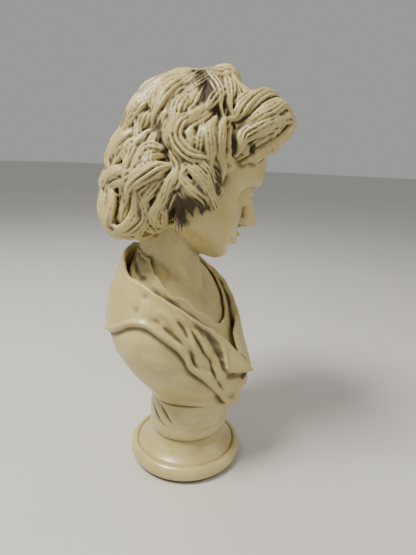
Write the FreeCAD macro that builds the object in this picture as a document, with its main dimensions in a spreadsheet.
# Marble bust of a young sitter on a turned socle, a table-top figurine.
#
# Frame: millimetres, +Z up, origin at the centre of the underside of the felt.
# The chest faces -Y; the head is turned to its own left and bowed.
#
# The bust is one carved block. It stands on a bed of compound on the turned socle, and a
# stainless stud holds the two together: its top is set in resin in the bust, and its bottom
# end carries a nut and washers in a recess under the socle, closed by a disc of felt.

import FreeCAD, Part
import Sketcher

import os

from FreeCAD import Placement, Rotation, Vector

doc = FreeCAD.newDocument("MarbleBust")


# ---------------------------------------------------------------- driving dimensions

sizes = {
    # stack along the socle axis, heights above the table
    "felt_thick": 2.0,
    "socle_top": 50.0,
    "bed_thick": 0.8,
    "socket_top": 96.0,
    "stud_foot": 4.6,
    "stud_head": 94.0,
    # socle
    "felt_radius": 36.5,
    "rim_radius": 39.5,
    "rim_foot_radius": 37.5,
    "rim_mid": 6.5,
    "rim_top": 11.6,
    "rim_top_radius": 36.2,
    "groove_radius": 34.6,
    "groove_height": 10.2,
    "cove_radius": 33.6,
    "cove_height": 11.4,
    "cove_bulge_radius": 28.8,
    "cove_bulge_height": 16.0,
    "ring_foot": 23.6,
    "ring_foot_radius": 26.4,
    "ring_mid": 29.0,
    "ring_mid_radius": 28.2,
    "ring_top": 34.0,
    "ring_top_radius": 26.2,
    "column_radius": 25.2,
    "bore_radius": 3.5,
    "recess_radius": 16.0,
    "recess_depth": 12.0,
    # fastening
    "stud_radius": 3.0,
    "stud_chamfer": 0.6,
    "socket_radius": 5.0,
    "soft_washer_radius": 13.0,
    "soft_washer_thick": 1.2,
    "steel_washer_radius": 12.5,
    "steel_washer_thick": 1.6,
    "washer_hole_radius": 3.2,
    "nut_flats": 10.0,
    "nut_thick": 5.0,
    "nut_bevel": 0.3,
    "thread_play": 0.03,
    "bed_radius": 24.2,
    # the head's own centre, turn and bow
    "head_right_left": 7.0,
    "head_front_back": 0.0,
    "head_height": 205.0,
    "head_turn": 35.0,
    "head_bow": 20.0,
    # neck
    "neck_foot_radius": 22.0,
    "neck_top_radius": 19.0,
    "neck_length": 56.0,
    "neck_foot_height": 120.0,
    "neck_foot_back": 13.0,
    "neck_lean": 7.0,
    # rolled edge of the cloak
    "collar_long": 48.0,
    "collar_short": 31.0,
    "collar_roll": 4.2,
    "collar_back": 7.5,
    "collar_height": 117.5,
    "collar_tilt": 43.0,
}

# Clothed chest and shoulders: height, set back of the centre, half breadth and half depth,
# of which the breadth is always the larger.
torso_sections = {
    "seat": (50.8, -4.5, 29.5, 29.2),
    "waist": (59.0, -4.5, 34.0, 32.8),
    "ribs": (71.0, -3.0, 42.0, 37.0),
    "arms": (86.0, 4.5, 50.0, 41.5),
    "shoulders": (101.0, 10.0, 51.5, 42.5),
    "slope": (114.0, 12.0, 46.0, 38.0),
    "collar_base": (125.0, 12.5, 36.0, 31.0),
    "throat": (134.0, 12.5, 26.5, 24.5),
}

# Rounded masses of the head in its own upright frame, before the turn and the bow:
# centre to the left, back and up of the head's centre, then half width, depth and height.
head_masses = {
    "face": ((0.4, -12, -10), (33.5, 33, 41)),
    "jaw": ((-0.4, -15, -34), (25, 23, 18)),
    "chin": ((0, -32.5, -44), (10, 8.5, 8)),
    "nose_bridge": ((0, -41, -11), (4, 7, 12)),
    "nose_tip": ((0, -45, -20), (5.5, 7, 5)),
    "lips": ((0, -38.5, -33.5), (9, 5, 4)),
    "eye_right": ((-14.5, -34, -5), (8, 8, 7)),
    "eye_left": ((14.5, -34, -5), (8, 8, 7)),
    "hair_crown": ((-1.5, 5, 5), (50, 51, 47)),
    "hair_back": ((1.5, 20, -21), (47, 36, 33)),
    "hair_nape": ((-1, 30, -42), (36, 22, 19)),
    "forelock": ((-2, 6, 42), (18, 17, 14)),
    "fringe_centre": ((0, -31, 37), (25, 18, 13.5)),
    "fringe_right": ((-26, -22, 29), (19, 20, 15)),
    "fringe_left": ((26, -22, 29), (19, 20, 15)),
    "side_right": ((-38, -4, -14), (13, 21, 27)),
    "side_left": ((39, -4, -14), (13.5, 21, 27)),
}

# Curls round the lower edge of the hair: how many, and one curl's shape and ring.
curl_count = 9
curls = {
    "curl_half_width": 9.0,
    "curl_half_height": 14.0,
    "curl_ring_width": 38.0,
    "curl_ring_depth": 27.0,
    "curl_ring_back": 21.0,
    "curl_ring_height": -38.0,
    "curl_first_angle": -25.0,
    "curl_last_angle": 205.0,
}

# Points of the cloak's two lapels, and the shoulder caps inside the cloak.
cloak_masses = {
    "lapel_tip_right": ((-9, -31, 73), (13, 9, 8)),
    "lapel_tip_left": ((11, -29, 76), (12, 8, 8)),
    "shoulder_right": ((-37, 13, 100), (16, 27, 20)),
    "shoulder_left": ((37, 13, 100), (16, 27, 20)),
    "cloak_nape": ((0, 23, 128), (33, 24, 27)),
}


# ---------------------------------------------------------------- the sheet

sheet = doc.addObject("Spreadsheet::Sheet", "Sizes")
sheet_row = 0


def put(alias, value):
    """One driving dimension: its name in column A, its plain number, aliased, in column B."""
    global sheet_row
    sheet_row += 1
    sheet.set("A%d" % sheet_row, alias)
    sheet.set("B%d" % sheet_row, str(value))
    sheet.setAlias("B%d" % sheet_row, alias)


def put_mass(name, centre, half):
    for axis, value in zip(("left", "back", "up"), centre):
        put("%s_%s" % (name, axis), value)
    for axis, value in zip(("wide", "deep", "high"), half):
        put("%s_%s" % (name, axis), value)


for alias, value in sizes.items():
    put(alias, value)
for name, section in torso_sections.items():
    for kind, value in zip(("height", "setback", "breadth", "depth"), section):
        put("torso_%s_%s" % (name, kind), value)
for masses in (head_masses, cloak_masses):
    for name, (centre, half) in masses.items():
        put_mass(name, centre, half)
for alias, value in curls.items():
    put(alias, value)
doc.recompute()


def bind(obj, **properties):
    """Ties properties of an object to formulas of the sheet's cells, such as Height='@a - @b'."""
    for path, formula in properties.items():
        obj.setExpression(path.replace("__", "."), formula.replace("@", "Sizes."))


# ---------------------------------------------------------------- helpers

def primitive(kind, name, **properties):
    obj = doc.addObject("Part::" + kind, name)
    bind(obj, **properties)
    return obj


def cylinder(name, radius, foot, height):
    return primitive("Cylinder", name, Radius=radius, Placement__Base__z=foot, Height=height)


def join(name, parts):
    obj = doc.addObject("Part::MultiFuse", name)
    obj.Shapes = parts
    return obj


def cut(name, base, tool):
    obj = doc.addObject("Part::Cut", name)
    obj.Base = base
    obj.Tool = tool
    return obj


def mass(name):
    """An ellipsoid whose centre and half sizes are the cells named after it."""
    obj = doc.addObject("Part::Ellipsoid", name)
    # Radius1 lies along Z, Radius2 along X and Radius3 along Y.
    cell = "@%s_" % name
    bind(obj, Radius1=cell + "high", Radius2=cell + "wide", Radius3=cell + "deep",
         Placement__Base__x=cell + "left", Placement__Base__y=cell + "back",
         Placement__Base__z=cell + "up")
    return obj


def turned_body(label, outline):
    """A PartDesign body turned about Z. outline is a closed list of corners (radius, height),
    as formulas; a corner of three items is the middle of an arc between its neighbours."""
    body = doc.addObject("PartDesign::Body", label)
    plane = next(f for f in body.Origin.OriginFeatures if f.Role == "XZ_Plane")
    sketch = body.newObject("Sketcher::SketchObject", label + "_outline")
    sketch.AttachmentSupport = [(plane, "")]
    sketch.MapMode = "FlatFace"

    def number(formula):
        terms = formula.replace("@", "").split()
        total = dimension(terms[0])
        for sign, term in zip(terms[1::2], terms[2::2]):
            total += dimension(term) * (1 if sign == "+" else -1)
        return total

    def dimension(term):
        return getattr(sheet, term) if not term[0].isdigit() else float(term)

    def place(corner):
        return Vector(number(corner[0]), number(corner[1]), 0)

    corners = [c for c in outline if len(c) == 2]
    edges = []
    for start, end in zip(corners, corners[1:] + corners[:1]):
        between = outline[(outline.index(start) + 1) % len(outline)]
        curved = len(between) == 3
        first, last = place(start), place(end)
        forward = True
        if curved:
            # A sketch's arcs run anticlockwise, so an arc that turns the other way is drawn
            # from its end back to its start.
            middle = place(between)
            forward = (middle - first).cross(last - middle).z > 0
            drawn = (first, middle, last) if forward else (last, middle, first)
            shape = Part.Arc(*drawn)
        else:
            shape = Part.LineSegment(first, last)
        edge = sketch.addGeometry(shape, False)
        edges.append((edge, 1 if forward else 2, 2 if forward else 1, curved))

    for i, corner in enumerate(corners):
        before, after = edges[i - 1], edges[i]
        sketch.addConstraint(Sketcher.Constraint(
            "Coincident", before[0], before[2], after[0], after[1]))
    for corner, (edge, start_end, far_end, curved) in zip(corners, edges):
        at = place(corner)
        for kind, formula, value in (("DistanceX", corner[0], at.x), ("DistanceY", corner[1], at.y)):
            index = sketch.addConstraint(Sketcher.Constraint(kind, -1, 1, edge, start_end, value))
            sketch.setExpression("Constraints[%d]" % index, formula.replace("@", "Sizes."))
    for edge, start_end, far_end, curved in edges:
        if curved:
            radius = sketch.Geometry[edge].Radius
            sketch.addConstraint(Sketcher.Constraint("Radius", edge, radius))
    doc.recompute()

    turn = body.newObject("PartDesign::Revolution", label + "_turned")
    turn.Profile = sketch
    turn.ReferenceAxis = (sketch, ["V_Axis"])
    turn.Angle = 360
    body.Tip = turn
    doc.recompute()
    return body


# ---------------------------------------------------------------- socle

socle = turned_body("socle", [
    ("@bore_radius", "@felt_thick + @recess_depth"),
    ("@recess_radius", "@felt_thick + @recess_depth"),
    ("@recess_radius", "@felt_thick"),
    ("@rim_foot_radius", "@felt_thick"),
    ("@rim_radius", "@rim_mid", "arc"),
    ("@rim_top_radius", "@rim_top"),
    ("@groove_radius", "@groove_height"),
    ("@cove_radius", "@cove_height"),
    ("@cove_bulge_radius", "@cove_bulge_height", "arc"),
    ("@ring_foot_radius", "@ring_foot"),
    ("@ring_mid_radius", "@ring_mid", "arc"),
    ("@ring_top_radius", "@ring_top"),
    ("@column_radius", "@socle_top"),
    ("@bore_radius", "@socle_top"),
])


# ---------------------------------------------------------------- felt and fastening

felt = turned_body("felt_pad", [
    ("0", "0"),
    ("@felt_radius", "0"),
    ("@felt_radius", "@felt_thick"),
    ("0", "@felt_thick"),
])

bed = turned_body("bedding_compound", [
    ("@bore_radius", "@socle_top"),
    ("@bed_radius", "@socle_top"),
    ("@bed_radius", "@socle_top + @bed_thick"),
    ("@bore_radius", "@socle_top + @bed_thick"),
])

stud = turned_body("threaded_stud", [
    ("0", "@stud_foot"),
    ("@stud_radius - @stud_chamfer", "@stud_foot"),
    ("@stud_radius", "@stud_foot + @stud_chamfer"),
    ("@stud_radius", "@stud_head - @stud_chamfer"),
    ("@stud_radius - @stud_chamfer", "@stud_head"),
    ("0", "@stud_head"),
])

resin = turned_body("anchor_resin", [
    ("@stud_radius", "@socle_top + @bed_thick"),
    ("@socket_radius", "@socle_top + @bed_thick"),
    ("@socket_radius", "@socket_top"),
    ("0", "@socket_top"),
    ("0", "@stud_head"),
    ("@stud_radius - @stud_chamfer", "@stud_head"),
    ("@stud_radius", "@stud_head - @stud_chamfer"),
])

soft_top = "@felt_thick + @recess_depth"
soft_foot = soft_top + " - @soft_washer_thick"
steel_foot = soft_foot + " - @steel_washer_thick"
nut_foot = steel_foot + " - @nut_thick"


def washer(label, radius, foot, top):
    return turned_body(label, [
        ("@washer_hole_radius", foot),
        (radius, foot),
        (radius, top),
        ("@washer_hole_radius", top),
    ])


soft_washer = washer("fibre_washer", "@soft_washer_radius", soft_foot, soft_top)
steel_washer = washer("steel_washer", "@steel_washer_radius", steel_foot, soft_foot)

nut_blank = primitive("Prism", "nut_blank", Circumradius="@nut_flats / 2 / cos(30)",
                      Height="@nut_thick", Placement__Base__z=nut_foot)
nut_blank.Polygon = 6
nut_thread = cylinder("nut_thread", "@stud_radius + @thread_play", nut_foot, "@nut_thick")
nut_corners = primitive("Cone", "nut_corners", Radius1="@nut_flats / 2 - @nut_bevel",
                        Radius2="@nut_flats / 2 - @nut_bevel + @nut_thick * 2",
                        Height="@nut_thick", Placement__Base__z=nut_foot)
nut_eased = doc.addObject("Part::MultiCommon", "nut_eased")
nut_eased.Shapes = [nut_blank, nut_corners]
nut = cut("hex_nut", nut_eased, nut_thread)


# ---------------------------------------------------------------- bust

# Clothed chest: a loft through level ellipses.
rings = []
for name in torso_sections:
    cell = "@torso_%s_" % name
    rings.append(primitive("Ellipse", "torso_" + name, MajorRadius=cell + "breadth",
                           MinorRadius=cell + "depth", Placement__Base__y=cell + "setback",
                           Placement__Base__z=cell + "height"))
torso = doc.addObject("Part::Loft", "torso")
torso.Sections = rings
torso.Solid = True

# Rolled edge of the cloak: a round roll swept round a tilted ellipse, high at the nape.
collar_line = primitive("Ellipse", "collar_line", MajorRadius="@collar_long",
                        MinorRadius="@collar_short")
collar_section = primitive("Circle", "collar_section", Radius="@collar_roll")
collar_section.Placement = Placement(Vector(sheet.collar_long, 0, 0), Rotation(Vector(1, 0, 0), 90))
bind(collar_section, Placement__Base__x="@collar_long")
collar = doc.addObject("Part::Sweep", "collar")
collar.Sections = [collar_section]
collar.Spine = (collar_line, ["Edge1"])
collar.Solid = True
collar.Frenet = True
collar.Placement = Placement(
    Vector(0, sheet.collar_back, sheet.collar_height),
    Rotation(Vector(1, 0, 0), sheet.collar_tilt).multiply(Rotation(Vector(0, 0, 1), 90)))
bind(collar, Placement__Base__y="@collar_back", Placement__Base__z="@collar_height")

# Neck, leaning back a little as it rises to the turned head.
neck = primitive("Cone", "neck", Radius1="@neck_foot_radius", Radius2="@neck_top_radius",
                 Height="@neck_length")
neck.Placement = Placement(Vector(0, sheet.neck_foot_back, sheet.neck_foot_height),
                           Rotation(Vector(1, 1, 0), -sheet.neck_lean))
bind(neck, Placement__Base__y="@neck_foot_back", Placement__Base__z="@neck_foot_height")

# Head and hair, joined upright about their own centre, then bowed and turned as one.
head_parts = [mass(name) for name in head_masses]
for i in range(curl_count):
    share = i / (curl_count - 1.0)
    angle = "(@curl_first_angle + %g * (@curl_last_angle - @curl_first_angle))" % share
    head_parts.append(primitive(
        "Ellipsoid", "curl_%d" % (i + 1), Radius1="@curl_half_height", Radius2="@curl_half_width",
        Radius3="@curl_half_width",
        Placement__Base__x="@curl_ring_width * cos(%s)" % angle,
        Placement__Base__y="@curl_ring_back + @curl_ring_depth * sin(%s)" % angle,
        Placement__Base__z="@curl_ring_height"))
head = join("head", head_parts)
head.Placement = Placement(
    Vector(sheet.head_right_left, sheet.head_front_back, sheet.head_height),
    Rotation(Vector(0, 0, 1), sheet.head_turn).multiply(Rotation(Vector(1, 0, 0), sheet.head_bow)))
bind(head, Placement__Base__x="@head_right_left", Placement__Base__y="@head_front_back",
     Placement__Base__z="@head_height")

socket = cylinder("stud_socket", "@socket_radius", "@socle_top + @bed_thick",
                  "@socket_top - @socle_top - @bed_thick")
drilled = cut("torso_drilled", torso, socket)

# The masses meet at very shallow angles, where one boolean over all of them fails; joined to
# the drilled chest one at a time, from the neck outwards, they close into one block.
doc.recompute()
block = drilled.Shape
for part in [neck, collar] + [mass(name) for name in cloak_masses] + [head]:
    doc.recompute()
    block = block.fuse(part.Shape)
bust = doc.addObject("Part::Feature", "bust")
bust.Shape = block.Solids[0]
if bust.Shape.Volume < head.Shape.Volume + drilled.Shape.Volume / 2:
    raise RuntimeError("the bust lost its head or its chest")


# ---------------------------------------------------------------- check and write

pieces = {
    "bust": bust,
    "socle": socle,
    "bedding_compound": bed,
    "threaded_stud": stud,
    "anchor_resin": resin,
    "fibre_washer": soft_washer,
    "steel_washer": steel_washer,
    "hex_nut": nut,
    "felt_pad": felt,
}
for label, piece in pieces.items():
    piece.Label = label

doc.recompute()
for obj in doc.Objects:
    if "Invalid" in obj.State or "Error" in obj.State:
        raise RuntimeError("%s did not build: %s" % (obj.Name, obj.State))

os.makedirs("parts", exist_ok=True)
for label, piece in pieces.items():
    shape = piece.Shape
    if shape.isNull() or not shape.isValid() or len(shape.Solids) != 1:
        raise RuntimeError("%s is not one valid solid" % label)
    box = shape.optimalBoundingBox()
    print("%-18s %10.1f mm3   z %6.1f to %6.1f" % (label, shape.Volume, box.ZMin, box.ZMax))
    shape.exportStep("parts/%s.step" % label)
